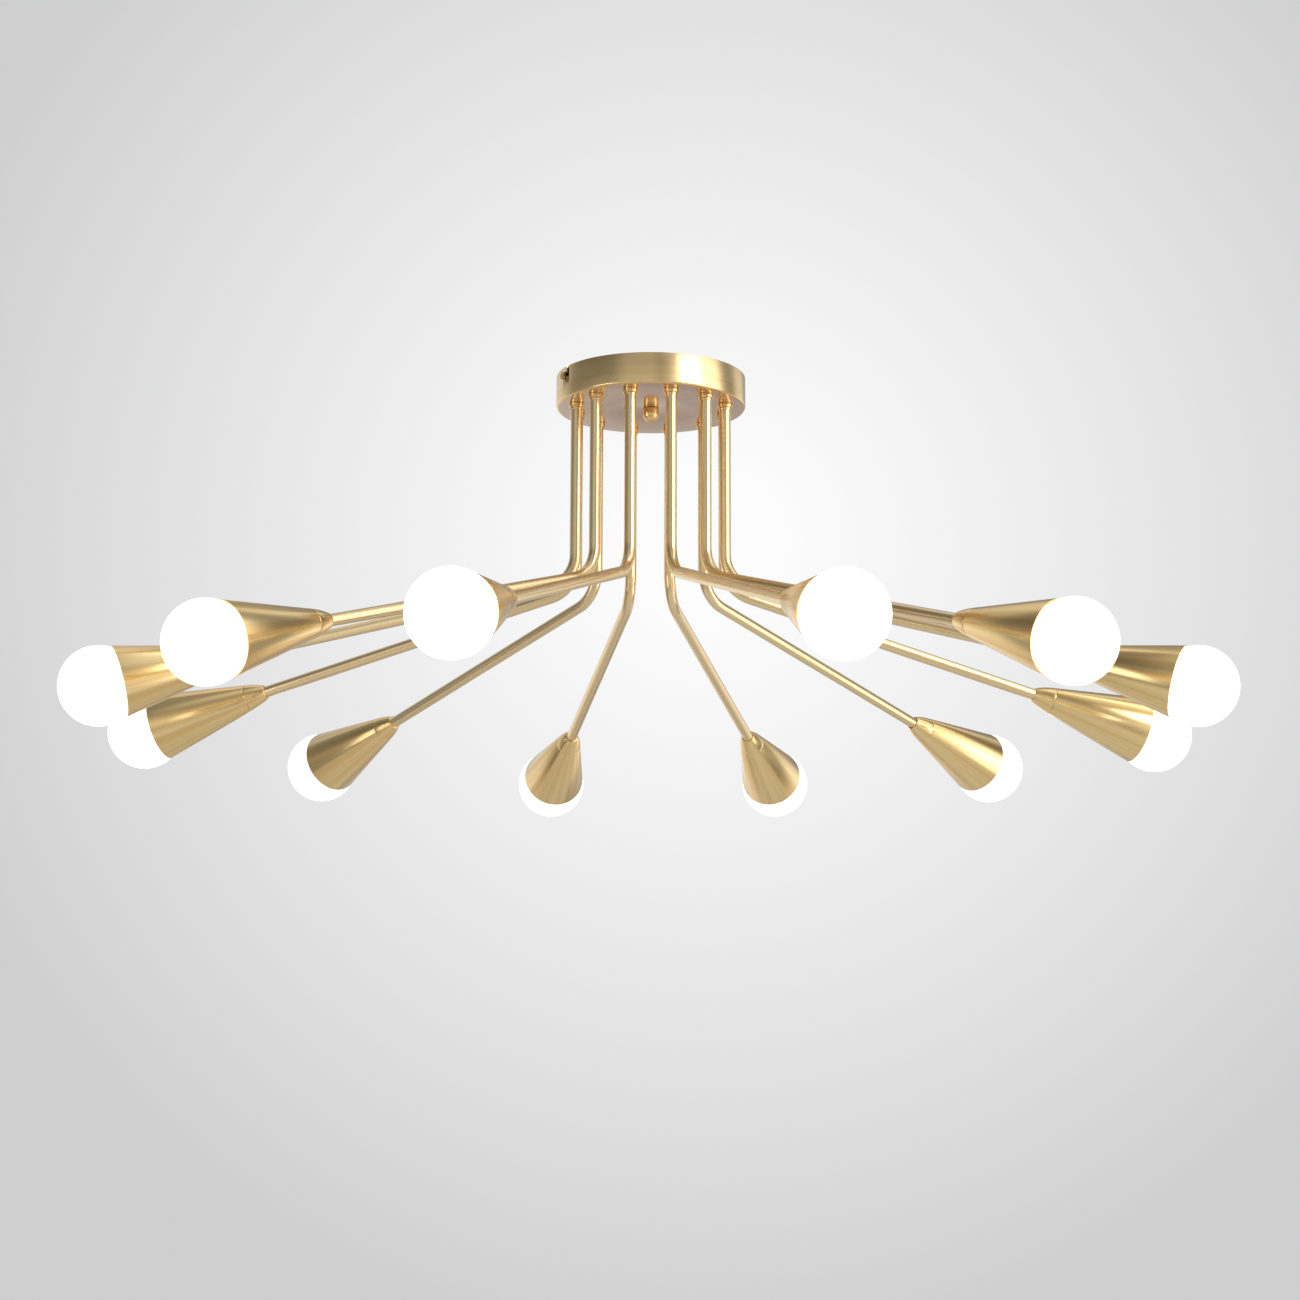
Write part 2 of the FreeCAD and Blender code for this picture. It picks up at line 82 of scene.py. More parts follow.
# lamp, along the slope from the arm's corner
NECK_START = 361
NECK_SEAM = 382
TUBE_END = 372
RIM_PLACE = 486.4
GLOBE_PLACE = 506
NECK_TIP_RADIUS = 7.3
NECK_SWELL = 0.7
SEAM_RADIUS = 14.2
RIM_RADIUS = 36.37
SHADE_WALL = 1
SHADE_TOP = 2
GLOBE_RADIUS = 40
GLASS_WALL = 2
GLASS_NECK_RADIUS = 13
GLASS_NECK_LENGTH = 10

# finial in the middle of the canopy floor
FINIAL_RADIUS = 8.5
FINIAL_HEIGHT = 14.5
FINIAL_SKIRT = 6
STUD_BORE = 3.1

# camera: place in metres, turns in degrees
CAMERA_PLACE = (0, -2.752, -0.803)
CAMERA_TILT = 10.46
CAMERA_ROLL = 0.19
CAMERA_LENS = 73.7


# ---------------------------------------------------------------- camera, first
def make_camera():
    """Camera below the ceiling and in front of the light, tilted up at it."""
    data = bpy.data.cameras.new("camera")
    data.sensor_width = 36
    data.lens = CAMERA_LENS
    camera = bpy.data.objects.new("camera", data)
    bpy.context.scene.collection.objects.link(camera)
    tilt = Matrix.Rotation(math.radians(90 + CAMERA_TILT), 4, "X")
    roll = Matrix.Rotation(math.radians(CAMERA_ROLL), 4, "Z")
    camera.matrix_world = Matrix.Translation(CAMERA_PLACE) @ tilt @ roll
    bpy.context.scene.camera = camera


# ---------------------------------------------------------------- shaping by hand tools
def drop_selection():
    """Start with nothing selected, so that a tool acts on its own piece."""
    bpy.ops.object.select_all(action="DESELECT")


def finish_mesh(piece, bevel, wall=0.0):
    """Merge doubles, face outwards, give an open skin its wall, and soften the edges."""
    bpy.ops.object.mode_set(mode="EDIT")
    bpy.ops.mesh.select_all(action="SELECT")
    bpy.ops.mesh.remove_doubles(threshold=0.01 * MM)
    bpy.ops.mesh.normals_make_consistent(inside=False)
    bpy.ops.object.mode_set(mode="OBJECT")
    if wall:
        solidify = piece.modifiers.new("wall", "SOLIDIFY")
        solidify.thickness = wall * MM
        solidify.offset = -1
        bpy.ops.object.modifier_apply(modifier=solidify.name)
    if bevel:
        soften = piece.modifiers.new("soft_edges", "BEVEL")
        soften.width = bevel * MM
        soften.segments = 3
        soften.limit_method = "ANGLE"
        soften.angle_limit = math.radians(35)
        bpy.ops.object.modifier_apply(modifier=soften.name)
    bpy.ops.object.shade_smooth_by_angle(angle=math.radians(40))


def turned_piece(name, outline, sides=96, bevel=0.3, wall=0.0, closed=True):
    """Shape a turned piece on Z: a circle at the first (radius, height), extruded through the rest."""
    drop_selection()
    radius, height = outline[0]
    bpy.ops.mesh.primitive_circle_add(vertices=sides, radius=radius * MM, fill_type="NOTHING",
                                      location=(0, 0, height * MM))
    piece = bpy.context.object
    piece.name = name
    bpy.ops.object.transform_apply(location=True, rotation=True, scale=True)
    bpy.ops.object.mode_set(mode="EDIT")
    bpy.ops.mesh.select_all(action="SELECT")
    path = list(outline[1:]) + ([outline[0]] if closed else [])
    for next_radius, next_height in path:
        bpy.ops.mesh.extrude_region_move(
            TRANSFORM_OT_translate={"value": (0, 0, (next_height - height) * MM)})
        if next_radius == 0:
            bpy.ops.mesh.merge(type="CENTER")
            break
        grow = next_radius / radius
        bpy.ops.transform.resize(value=(grow, grow, 1), center_override=(0, 0, next_height * MM))
        radius, height = next_radius, next_height
    bpy.ops.object.mode_set(mode="OBJECT")
    keep_grain(piece)
    finish_mesh(piece, bevel, wall)
    return piece


def arc_points(centre, radius, start, end, steps):
    """Points round an arc, as (radius, height) pairs, from start to end in degrees."""
    points = []
    for step in range(steps + 1):
        angle = math.radians(start + (end - start) * step / steps)
        points.append((centre[0] + radius * math.cos(angle), centre[1] + radius * math.sin(angle)))
    return points


def keep_grain(piece, unbend=None):
    """Remember where each point lies along and across the piece, for the brushed grain."""
    grain = piece.data.attributes.new("grain", "FLOAT_VECTOR", "POINT")
    for vertex, place in zip(piece.data.vertices, grain.data):
        place.vector = unbend(vertex.co) if unbend else vertex.co


# ---------------------------------------------------------------- the arm's pieces
SLOPE = math.radians(ARM_SLOPE)
TURN = math.pi / 2 - SLOPE
SETBACK = BEND_RADIUS * math.tan(TURN / 2)


def unbend_tube(point):
    """Straighten the tube: how far a point lies round it and along it."""
    low = (SETBACK - CORNER_DROP) * MM
    centre = Vector((BEND_RADIUS * MM, 0, low))
    if point.z >= low:
        return Vector((-point.x, point.y, -point.z))
    offset = point - centre
    angle = math.atan2(-offset.z, -offset.x)
    if angle < TURN:
        out = math.hypot(offset.x, offset.z) - BEND_RADIUS * MM
        return Vector((out, point.y, -low + angle * BEND_RADIUS * MM))
    along = Vector((math.cos(SLOPE), 0, -math.sin(SLOPE)))
    outwards = Vector((-math.sin(SLOPE), 0, -math.cos(SLOPE)))
    bend_end = centre + outwards * BEND_RADIUS * MM
    rest = point - bend_end
    return Vector((rest.dot(outwards), point.y, -low + TURN * BEND_RADIUS * MM + rest.dot(along)))


def make_tube():
    """Rod, bend and slope in one tube: a circle extruded down, spun through the bend and drawn out."""
    drop_selection()
    top = -(CANOPY_HEIGHT + COLLAR_HEIGHT + STEP_HEIGHT + RUNNING_GAP)
    low = SETBACK - CORNER_DROP
    bpy.ops.mesh.primitive_circle_add(vertices=48, radius=TUBE_RADIUS * MM, fill_type="NOTHING",
                                      location=(0, 0, top * MM))
    tube = bpy.context.object
    tube.name = "arm_tube"
    bpy.ops.object.transform_apply(location=True, rotation=True, scale=True)
    bpy.ops.object.mode_set(mode="EDIT")
    bpy.ops.mesh.select_all(action="SELECT")
    bpy.ops.mesh.extrude_region_move(TRANSFORM_OT_translate={"value": (0, 0, (low - top) * MM)})
    bpy.ops.mesh.spin(steps=24, angle=TURN, center=(BEND_RADIUS * MM, 0, low * MM), axis=(0, 1, 0))
    slope_length = TUBE_END - SETBACK
    reach = Vector((math.cos(SLOPE), 0, -math.sin(SLOPE))) * slope_length * MM
    bpy.ops.mesh.extrude_region_move(TRANSFORM_OT_translate={"value": reach})
    bpy.ops.object.mode_set(mode="OBJECT")
    keep_grain(tube, unbend_tube)
    finish_mesh(tube, 0, TUBE_WALL)
    return tube


def make_neck_cap():
    """Turned cap that swells from the tube to the seam."""
    bore = TUBE_RADIUS + FIT_GAP
    half_across = (SEAM_RADIUS - NECK_TIP_RADIUS) / 2
    half_along = (NECK_SEAM - NECK_START) / 2
    chord = math.hypot(half_across, half_along)
    side = []
    steps = 10
    for step in range(steps + 1):
        share = step / steps
        swell = NECK_SWELL * (1 - (2 * share - 1) ** 2)
        side.append((NECK_TIP_RADIUS + 2 * half_across * share + swell * half_along / chord,
                     NECK_START + 2 * half_along * share - swell * half_across / chord))
    side[-1] = (SEAM_RADIUS, NECK_SEAM - 0.1)
    outline = [(bore, NECK_START)] + side + [(bore, NECK_SEAM - 0.1)]
    return turned_piece("neck_cap", outline, bevel=0.35)


def make_cone():
    """Spun cone with its top disc, a rim with only eased edges, and an open mouth."""
    inner_top = NECK_SEAM + SHADE_TOP
    outline = [
        (ROD_BORE, NECK_SEAM + 0.1),
        (SEAM_RADIUS, NECK_SEAM + 0.1),
        (RIM_RADIUS, RIM_PLACE),
        (RIM_RADIUS - SHADE_WALL, RIM_PLACE),
        (SEAM_RADIUS - SHADE_WALL, inner_top),
        (ROD_BORE, inner_top),
    ]
    return turned_piece("cone", outline, sides=128, bevel=0.3)


def make_globe():
    """Blown opal globe, drawn in to a short neck at its back."""
    back = math.degrees(math.acos(GLASS_NECK_RADIUS / GLOBE_RADIUS))
    mouth = GLOBE_PLACE - GLOBE_RADIUS * math.sin(math.radians(back)) - GLASS_NECK_LENGTH
    outline = [(GLASS_NECK_RADIUS, mouth)]
    outline += arc_points((0, GLOBE_PLACE), GLOBE_RADIUS, -back, 88, 44)
    outline += [(0, GLOBE_PLACE + GLOBE_RADIUS)]
    return turned_piece("globe", outline, sides=96, bevel=0, wall=GLASS_WALL, closed=False)


def make_collar():
    """Upper ring against the canopy, its edges eased."""
    top = -CANOPY_HEIGHT
    return turned_piece("collar", [(ROD_BORE, top), (COLLAR_RADIUS, top),
                                   (COLLAR_RADIUS, top - COLLAR_HEIGHT),
                                   (ROD_BORE, top - COLLAR_HEIGHT)], sides=64, bevel=0.5)


def make_step():
    """Thin lower ring between the collar and the tube."""
    top = -CANOPY_HEIGHT - COLLAR_HEIGHT
    return turned_piece("step", [(ROD_BORE, top), (STEP_RADIUS, top), (STEP_RADIUS, top - STEP_HEIGHT),
                                 (ROD_BORE, top - STEP_HEIGHT)], sides=64, bevel=0.4)


def make_nipple():
    """Hollow threaded nipple in the rod's top, through the collar and the canopy floor."""
    low = -(CANOPY_HEIGHT + COLLAR_HEIGHT + STEP_HEIGHT + RUNNING_GAP + NIPPLE_GRIP)
    return turned_piece("nipple", [(NIPPLE_BORE, -NIPPLE_TOP), (NIPPLE_RADIUS, -NIPPLE_TOP),
                                   (NIPPLE_RADIUS, low), (NIPPLE_BORE, low)], sides=48, bevel=0.3)


# ---------------------------------------------------------------- canopy and finial
def make_canopy():
    """Spun drum with an eased lower edge, a hole for the centre stud and two bayonet slots; the rod holes
    are not cut.
    """
    edge = arc_points((CANOPY_RADIUS - CANOPY_EDGE, CANOPY_EDGE - CANOPY_HEIGHT), CANOPY_EDGE, -90, 0, 8)
    inner = CANOPY_RADIUS - CANOPY_WALL
    floor_top = CANOPY_FLOOR - CANOPY_HEIGHT
    outline = [(STUD_BORE, -CANOPY_HEIGHT), (ROD_CIRCLE - 20, -CANOPY_HEIGHT)] + edge
    outline += [(CANOPY_RADIUS, 0), (inner, 0), (inner, floor_top), (STUD_BORE, floor_top)]
    canopy = turned_piece("canopy_drum", outline, sides=256, bevel=0.3)
    for turn in (SLOT_TURN, SLOT_TURN + 180):
        cut_slot(canopy, turn)
    return canopy


def polish_underside_and_paint_reflection(canopy, material):
    """The flat underside keeps a finer finish than the drum's side, and a pinker, paler brass colour that
    is a painted reflection of the floor below.
    """
    canopy.data.materials.append(material)
    for face in canopy.data.polygons:
        if face.normal.z < -0.98 and face.center.z < -0.9 * CANOPY_HEIGHT * MM:
            face.material_index = 1


def cut_slot(canopy, turn):
    """Cut an L through the drum's wall: an upright open at the top and a level run to the screw."""
    upright_height = SLOT_DROP + SLOT_WIDTH / 2 + 1
    upright = (SLOT_REACH, 1 - upright_height / 2, SLOT_WIDTH, upright_height)
    level = (SLOT_REACH / 2 - 0.01, -SLOT_DROP, SLOT_REACH + SLOT_WIDTH, SLOT_WIDTH - 0.02)
    for along, height, width, tall in (upright, level):
        drop_selection()
        bpy.ops.mesh.primitive_cube_add(size=1)
        cutter = bpy.context.object
        place = Matrix.Rotation(math.radians(turn), 4, "Z") @ Matrix.Translation(
            (CANOPY_RADIUS * MM, along * MM, height * MM))
        size = Matrix.Diagonal((12 * MM, width * MM, tall * MM, 1))
        cutter.data.transform(place @ size)
        drop_selection()
        canopy.select_set(True)
        bpy.context.view_layer.objects.active = canopy
        slot = canopy.modifiers.new("slot", "BOOLEAN")
        slot.object = cutter
        slot.solver = "EXACT"
        bpy.ops.object.modifier_apply(modifier=slot.name)
        bpy.data.objects.remove(cutter)


def make_finial():
    """Domed cap nut with a straight skirt."""
    rise = FINIAL_HEIGHT - FINIAL_SKIRT
    shoulder = -CANOPY_HEIGHT - FINIAL_SKIRT
    dome = []
    for step in range(1, 12):
        angle = math.radians(90 * step / 12)
        dome.append((FINIAL_RADIUS * math.cos(angle), shoulder - rise * math.sin(angle)))
    outline = [(STUD_BORE, -CANOPY_HEIGHT - 5), (STUD_BORE, -CANOPY_HEIGHT),
               (FINIAL_RADIUS, -CANOPY_HEIGHT), (FINIAL_RADIUS, shoulder)]
    outline += dome + [(0, shoulder - rise)]
    finial = turned_piece("finial", outline, sides=64, bevel=0.3, closed=False)
    return finial


# ---------------------------------------------------------------- placing
def rod_place(arm):
    """Where an arm's rod stands, from its hinge."""
    joint = next(j for j in frame["joints"] if j["child"] == "arm_%02d" % arm)
    return Vector((joint["pos_m"][0], joint["pos_m"][1], 0))


def arm_matrix(arm):
    """From the arm's own frame, rod on Z and slope along +X, to its place in the light."""
    rod = rod_place(arm)
    globe_low, globe_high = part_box("glass_globe_%02d" % arm)
    middle = (Vector(globe_low) + Vector(globe_high)) / 2 - rod
    return Matrix.Translation(rod) @ Matrix.Rotation(math.atan2(middle.y, middle.x), 4, "Z")


LAMP_AXIS = Matrix.Translation((0, 0, -CORNER_DROP * MM)) @ Matrix.Rotation(
    math.radians(90 + ARM_SLOPE), 4, "Y")


def copy_placed(master, name, matrix):
    """A copy with its own mesh, its place in the mesh."""
    piece = master.copy()
    piece.data = master.data.copy()
    piece.name = name
    piece.data.transform(matrix)
    bpy.context.scene.collection.objects.link(piece)
    return piece


def dress(piece, body, material, nodes):
    """Give a piece its finish, its body and the designed pieces it stands for."""
    piece.data.materials.clear()
    piece.data.materials.append(material)
    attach(piece, body)
    if nodes:
        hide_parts(*nodes)


# ---------------------------------------------------------------- finishes
def new_material(name):
    """A material with its shader, its node tree and an output ready."""
    material = bpy.data.materials.new(name)
    material.use_nodes = True
    tree = material.node_tree
    return material, tree, tree.nodes["Principled BSDF"]


def add_node(tree, kind, **settings):
    """Add a node and set its properties."""
    node = tree.nodes.new(kind)
    for key, setting in settings.items():
        setattr(node, key, setting)
    return node


def ramp_between(tree, source, low, high, low_colour, high_colour):
    """Colour that runs between two tones as the source rises from low to high."""
    ramp = add_node(tree, "ShaderNodeValToRGB")
    ramp.color_ramp.elements[0].position = low
    ramp.color_ramp.elements[0].color = (*low_colour, 1)
    ramp.color_ramp.elements[1].position = high
    ramp.color_ramp.elements[1].color = (*high_colour, 1)
    tree.links.new(source, ramp.inputs["Fac"])
    return ramp.outputs["Color"]


def grain_place(tree, along):
    """Where a point lies in the grain: lines that run the length of a piece, or round and round it."""
    place = add_node(tree, "ShaderNodeAttribute", attribute_name="grain").outputs["Vector"]
    split = add_node(tree, "ShaderNodeSeparateXYZ")
    tree.links.new(place, split.inputs["Vector"])
    flat = add_node(tree, "ShaderNodeCombineXYZ")
    tree.links.new(split.outputs["X"], flat.inputs["X"])
    tree.links.new(split.outputs["Y"], flat.inputs["Y"])
    round_place = add_node(tree, "ShaderNodeVectorMath", operation="NORMALIZE")
    tree.links.new(flat.outputs["Vector"], round_place.inputs[0])
    out = add_node(tree, "ShaderNodeVectorMath", operation="LENGTH")
    tree.links.new(flat.outputs["Vector"], out.inputs[0])
    turn = add_node(tree, "ShaderNodeSeparateXYZ")
    tree.links.new(round_place.outputs["Vector"], turn.inputs["Vector"])
    joined = add_node(tree, "ShaderNodeCombineXYZ")
    if along:
        tree.links.new(turn.outputs["X"], joined.inputs["X"])
        tree.links.new(turn.outputs["Y"], joined.inputs["Y"])
    else:
        tree.links.new(out.outputs["Value"], joined.inputs["X"])
        tree.links.new(turn.outputs["Y"], joined.inputs["Y"])
    tree.links.new(split.outputs["Z"], joined.inputs["Z"])
    return place, joined.outputs["Vector"]


def noise_on(tree, vector, stretch, detail):
    """Noise on a stretched copy of a place."""
    stretched = add_node(tree, "ShaderNodeVectorMath", operation="MULTIPLY")
    stretched.inputs[1].default_value = stretch
    tree.links.new(vector, stretched.inputs[0])
    noise = add_node(tree, "ShaderNodeTexNoise")
    noise.inputs["Scale"].default_value = 1
    noise.inputs["Detail"].default_value = detail
    tree.links.new(stretched.outputs["Vector"], noise.inputs["Vector"])
    return noise.outputs["Fac"]


def brushed_metal(name, light, dark, roughness, spread, fine, broad, along=True, bump=0.2, line_share=0.3):
    """Brushed brass: broad soft bands of tone that follow the brushing, and fine lines over them. On the
    cone shades the broad bands are also painted highlight streaks.
    """
    material, tree, shader = new_material(name)
    place, grain = grain_place(tree, along)
    lines = noise_on(tree, grain, fine, 4)
    # broad bands of tone: brushing tone, and on the cone shades painted highlight streaks as well
    bands = noise_on(tree, grain, broad, 2)
    both = add_node(tree, "ShaderNodeMix", data_type="FLOAT")
    both.inputs["Factor"].default_value = line_share
    tree.links.new(bands, both.inputs["A"])
    tree.links.new(lines, both.inputs["B"])
    tone = ramp_between(tree, both.outputs["Result"], 0.36, 0.62, dark, light)
    tree.links.new(tone, shader.inputs["Base Color"])
    patches = noise_on(tree, place, (30, 30, 30), 3)
    mixed = add_node(tree, "ShaderNodeMath", operation="ADD")
    tree.links.new(lines, mixed.inputs[0])
    tree.links.new(patches, mixed.inputs[1])
    dull = add_node(tree, "ShaderNodeMapRange")
    dull.inputs["From Min"].default_value = 0.7
    dull.inputs["From Max"].default_value = 1.3
    dull.inputs["To Min"].default_value = roughness - spread
    dull.inputs["To Max"].default_value = roughness + spread
    tree.links.new(mixed.outputs["Value"], dull.inputs["Value"])
    tree.links.new(dull.outputs["Result"], shader.inputs["Roughness"])
    relief = add_node(tree, "ShaderNodeBump")
    relief.inputs["Strength"].default_value = bump
    relief.inputs["Distance"].default_value = 0.0001
    tree.links.new(lines, relief.inputs["Height"])
    tree.links.new(relief.outputs["Normal"], shader.inputs["Normal"])
    shader.inputs["Metallic"].default_value = 1
    return material


def opal_glass():
    """Lit opal glass: near white in the middle, a little warmer and dimmer towards its edge."""
    material, tree, shader = new_material("opal_glass")
    facing = add_node(tree, "ShaderNodeLayerWeight")
    facing.inputs["Blend"].default_value = 0.25
    glow = ramp_between(tree, facing.outputs["Facing"], 0.55, 1.0, (1.0, 0.985, 0.95), (1.0, 0.86, 0.66))
    tree.links.new(glow, shader.inputs["Emission Color"])
    cloud = add_node(tree, "ShaderNodeTexNoise")
    cloud.inputs["Scale"].default_value = 40
    cloud.inputs["Detail"].default_value = 2
    tree.links.new(add_node(tree, "ShaderNodeTexCoord").outputs["Object"], cloud.inputs["Vector"])
    body = ramp_between(tree, cloud.outputs["Fac"], 0.3, 0.7, (0.93, 0.91, 0.87), (0.97, 0.96, 0.93))
    tree.links.new(body, shader.inputs["Base Color"])
    shader.inputs["Emission Strength"].default_value = 1.3
    shader.inputs["Roughness"].default_value = 0.22
    return material


def speckled(name, light, dark, roughness, scale=300, metallic=0.0):
    """Moulded, glazed or plated surface with a fine mottle."""
    material, tree, shader = new_material(name)
    mottle = add_node(tree, "ShaderNodeTexNoise")
    mottle.inputs["Scale"].default_value = scale
    mottle.inputs["Detail"].default_value = 4
    tree.links.new(add_node(tree, "ShaderNodeTexCoord").outputs["Object"], mottle.inputs["Vector"])
    tone = ramp_between(tree, mottle.outputs["Fac"], 0.35, 0.65, dark, light)
    tree.links.new(tone, shader.inputs["Base Color"])
    relief = add_node(tree, "ShaderNodeBump")
    relief.inputs["Strength"].default_value = 0.15
    relief.inputs["Distance"].default_value = 0.0001
    tree.links.new(mottle.outputs["Fac"], relief.inputs["Height"])
    tree.links.new(relief.outputs["Normal"], shader.inputs["Normal"])
    shader.inputs["Roughness"].default_value = roughness
    shader.inputs["Metallic"].default_value = metallic
    return material


# ---------------------------------------------------------------- studio
SOFTBOXES = [
    # azimuth in degrees from behind the camera, positive to the right, and brightness
    (-180, 0.5), (-168, 0.9), (-126, 0.8), (-112, 0.3), (-46, 0.28), (-34, 0.62), (6, 0.66),
    (11, 0.3), (17, 0.5), (30, 0.85), (58, 1.0), (66, 2.3), (88, 2.3), (97, 0.3), (118, 0.3),
    (127, 1.0), (143, 1.0), (155, 0.4), (180, 0.5),
]


def make_world():
    """Soft studio light all round in upright bands, seen by the camera as pale grey with a painted pool of
    light in the middle of the wall.
    """
    world = bpy.data.worlds.new("studio")
    bpy.context.scene.world = world
    world.use_nodes = True
    tree = world.node_tree
    tree.nodes.clear()
    place = add_node(tree, "ShaderNodeTexCoord")
    split = add_node(tree, "ShaderNodeSeparateXYZ")
    tree.links.new(place.outputs["Generated"], split.inputs["Vector"])
    towards = add_node(tree, "ShaderNodeMath", operation="MULTIPLY")
    towards.inputs[1].default_value = -1
    tree.links.new(split.outputs["Y"], towards.inputs[0])
    azimuth = add_node(tree, "ShaderNodeMath", operation="ARCTAN2")
    tree.links.new(split.outputs["X"], azimuth.inputs[0])
    tree.links.new(towards.outputs["Value"], azimuth.inputs[1])
    share = add_node(tree, "ShaderNodeMapRange")
    share.inputs["From Min"].default_value = -math.pi
    share.inputs["From Max"].default_value = math.pi
    tree.links.new(azimuth.outputs["Value"], share.inputs["Value"])
    bands = add_node(tree, "ShaderNodeValToRGB")
    stops = bands.color_ramp.elements
    while len(stops) < len(SOFTBOXES):
        stops.new(0.5)
    for stop, (angle, brightness) in zip(stops, SOFTBOXES):
        stop.position = (angle + 180) / 360
        stop.color = (brightness, brightness, brightness, 1)
    tree.links.new(share.outputs["Result"], bands.inputs["Fac"])
    height = add_node(tree, "ShaderNodeMapRange")
    height.inputs["From Min"].default_value = -1
    height.inputs["From Max"].default_value = 1
    tree.links.new(split.outputs["Z"], height.inputs["Value"])
    rise = add_node(tree, "ShaderNodeValToRGB")
    levels = rise.color_ramp.elements
    while len(levels) < 5:
        levels.new(0.5)
    for level, (position, tone) in zip(levels, [
            (0.0, (0.62, 0.55, 0.52)), (0.3, (0.75, 0.7, 0.68)), (0.5, (1.0, 1.0, 1.0)),
            (0.75, (0.5, 0.5, 0.52)), (1.0, (0.9, 0.9, 0.92))]):
        level.position = position
        level.color = (*tone, 1)
    tree.links.new(height.outputs["Result"], rise.inputs["Fac"])
    tinted = add_node(tree, "ShaderNodeMix", data_type="RGBA", blend_type="MULTIPLY")
    tinted.inputs["Factor"].default_value = 1
    tree.links.new(bands.outputs["Color"], tinted.inputs["A"])
    tree.links.new(rise.outputs["Color"], tinted.inputs["B"])
    lit = add_node(tree, "ShaderNodeBackground")
    lit.inputs["Strength"].default_value = 1.15
    tree.links.new(tinted.outputs["Result"], lit.inputs["Color"])
    seen = add_node(tree, "ShaderNodeBackground")
    tree.links.new(backdrop_painted_light_pool(tree, place), seen.inputs["Color"])
    path = add_node(tree, "ShaderNodeLightPath")
    choose = add_node(tree, "ShaderNodeMixShader")
    tree.links.new(path.outputs["Is Camera Ray"], choose.inputs["Fac"])
    tree.links.new(lit.outputs["Background"], choose.inputs[1])
    tree.links.new(seen.outputs["Background"], choose.inputs[2])
    out = add_node(tree, "ShaderNodeOutputWorld")
    tree.links.new(choose.outputs["Shader"], out.inputs["Surface"])


def backdrop_painted_light_pool(tree, place):
    """Pale grey studio wall with a painted pool of light: brightest in the middle, falling off gently away
    from it.
    """
    middle = add_node(tree, "ShaderNodeVectorMath", operation="DISTANCE")
    middle.inputs[1].default_value = (0.02, 0.975, 0.22)
    tree.links.new(place.outputs["Generated"], middle.inputs[0])
    # painted light: near white in the middle of the wall, darker grey towards its edges
    return ramp_between(tree, middle.outputs["Value"], 0.03, 0.3, (0.97, 0.97, 0.972), (0.62, 0.62, 0.625))


def make_floor():
    """Plain pale studio floor well below the light."""
    drop_selection()
    bpy.ops.mesh.primitive_circle_add(vertices=96, radius=2.6, fill_type="NGON", location=(0, 0, -1.9))
    floor = bpy.context.object
    floor.name = "studio_floor"
    floor.data.materials.append(speckled("pale_floor", (0.8, 0.8, 0.8), (0.77, 0.77, 0.77), 0.7, 3))


def area_light(name, place, aim, size, power, tint=(1, 1, 1)):
    """A square softbox that faces a point."""
    data = bpy.data.lights.new(name, "AREA")
    data.size = size
    data.energy = power
    data.color = tint
    lamp = bpy.data.objects.new(name, data)
    bpy.context.scene.collection.objects.link(lamp)
    direction = Vector(aim) - Vector(place)
    lamp.matrix_world = Matrix.Translation(place) @ direction.to_track_quat("-Z", "Y").to_matrix().to_4x4()


# ---------------------------------------------------------------- put together
make_camera()
make_world()
make_floor()
area_light("key_softbox", (2.2, -2.0, 0.9), (0, 0, -0.25), 1.2, 26)
area_light("fill_softbox", (-2.4, -1.6, -0.6), (0, 0, -0.25), 1.4, 10)
bpy.context.scene.view_settings.view_transform = "Standard"

canopy_brass = brushed_metal("brushed_brass", (0.92, 0.70, 0.36), (0.80, 0.57, 0.27), 0.25, 0.03,
                             (1500, 2, 1500), (60, 1.5, 60), along=False, bump=0.12, line_share=0.2)
# underside brass: the finer polish is its lower roughness; its pinker, paler colour is a painted
# reflection of the floor
underside_painted_reflection_brass = brushed_metal("underside_painted_reflection_brass", (0.80, 0.61, 0.45), (0.70, 0.51, 0.36), 0.13, 0.03,
                                (900, 2, 900), (40, 1.2, 40), along=False, bump=0.06)
polished_brass = brushed_metal("polished_brass", (0.92, 0.69, 0.35), (0.80, 0.54, 0.22), 0.15, 0.04,
                               (900, 3, 900), (200, 2, 200), along=False, bump=0.1)
tube_brass = brushed_metal("tube_brass", (0.93, 0.73, 0.42), (0.80, 0.60, 0.31), 0.25, 0.02,
                           (14, 14, 3), (1.6, 1.6, 1.5), bump=0.04, line_share=0.15)
# cone shades: the broad lengthwise bands between light and dark brass are partly brushing tone and partly
# painted highlight streaks
shade_brass = brushed_metal("shade_brass", (1.0, 0.76, 0.37), (0.80, 0.53, 0.21), 0.22, 0.02,
                            (40, 40, 3), (2.6, 2.6, 1), bump=0.07, line_share=0.15)
screw_brass = speckled("screw_brass", (0.62, 0.42, 0.18), (0.4, 0.25, 0.09), 0.35, 600, 1.0)
plated_steel = speckled("plated_steel", (0.62, 0.63, 0.64), (0.5, 0.51, 0.53), 0.3, 400, 1.0)
bracket_steel = speckled("bracket_steel", (0.2, 0.18, 0.15), (0.13, 0.115, 0.1), 0.45, 400, 1.0)
ceramic = speckled("glazed_ceramic", (0.9, 0.88, 0.84), (0.84, 0.82, 0.78), 0.3)
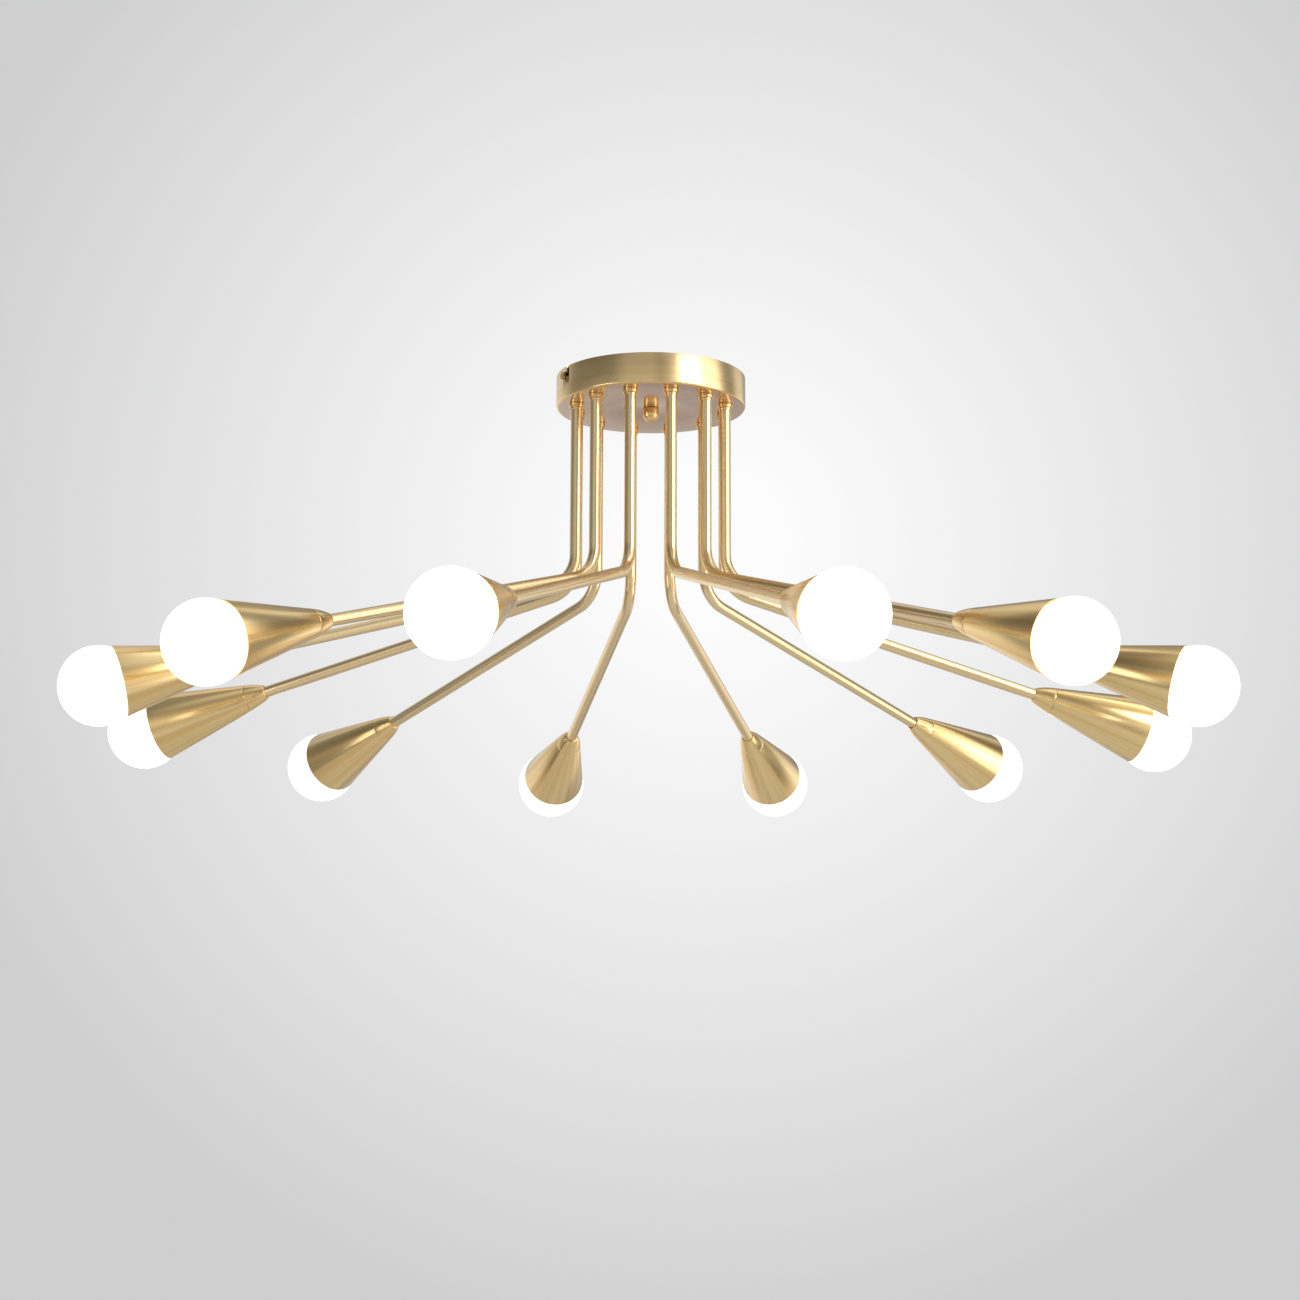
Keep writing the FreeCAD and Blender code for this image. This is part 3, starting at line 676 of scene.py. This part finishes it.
terminal_plastic = speckled("terminal_plastic", (0.86, 0.86, 0.84), (0.78, 0.78, 0.76), 0.5)
lead_sheath = speckled("lead_sheath", (0.8, 0.79, 0.76), (0.7, 0.69, 0.66), 0.5)
opal = opal_glass()

canopy = make_canopy()
dress(canopy, "ceiling_plate", canopy_brass, ["canopy"])
polish_underside_and_paint_reflection(canopy, underside_painted_reflection_brass)
dress(make_finial(), "ceiling_plate", polished_brass, ["finial_nut"])

rod_masters = [("collar", make_collar(), "arm_collars"), ("collar_step", make_step(), "arm_collar_steps")]
for kind, master, node in rod_masters:
    for arm in range(1, ARM_COUNT + 1):
        ring = copy_placed(master, "%s_%02d_ring" % (kind, arm), Matrix.Translation(rod_place(arm)))
        dress(ring, "ceiling_plate", polished_brass, [node])
    bpy.data.objects.remove(master)

arm_masters = [
    ("bent_tube", make_tube(), Matrix(), "tube_brass", tube_brass, "arm_tube"),
    ("nipple", make_nipple(), Matrix(), "tube_brass", screw_brass, "arm_tube"),
    ("neck_cap", make_neck_cap(), LAMP_AXIS, "shade_brass", shade_brass, "cone_shade"),
    ("spun_cone", make_cone(), LAMP_AXIS, "shade_brass", shade_brass, "cone_shade"),
    ("opal_globe", make_globe(), LAMP_AXIS, "opal_glass", opal, "glass_globe"),
]
for kind, master, axis, slot, material, node in arm_masters:
    for arm in range(1, ARM_COUNT + 1):
        piece = copy_placed(master, "%s_%02d" % (kind, arm), arm_matrix(arm) @ axis)
        dress(piece, "arm_%02d" % arm, material, ["%s_%02d" % (node, arm)])
    bpy.data.objects.remove(master)

KEPT_FINISHES = {
    "side_screws": screw_brass, "earth_terminal": screw_brass, "centre_stud": plated_steel,
    "ceiling_bracket": bracket_steel, "terminal_block": terminal_plastic, "wiring_loom": lead_sheath,
    "arm_washers": plated_steel, "arm_nuts": plated_steel,
}
for arm in range(1, ARM_COUNT + 1):
    KEPT_FINISHES["arm_fittings_%02d" % arm] = ceramic
for node, finish in KEPT_FINISHES.items():
    for holder in frame["nodes"][node].material_slots:
        holder.material = finish
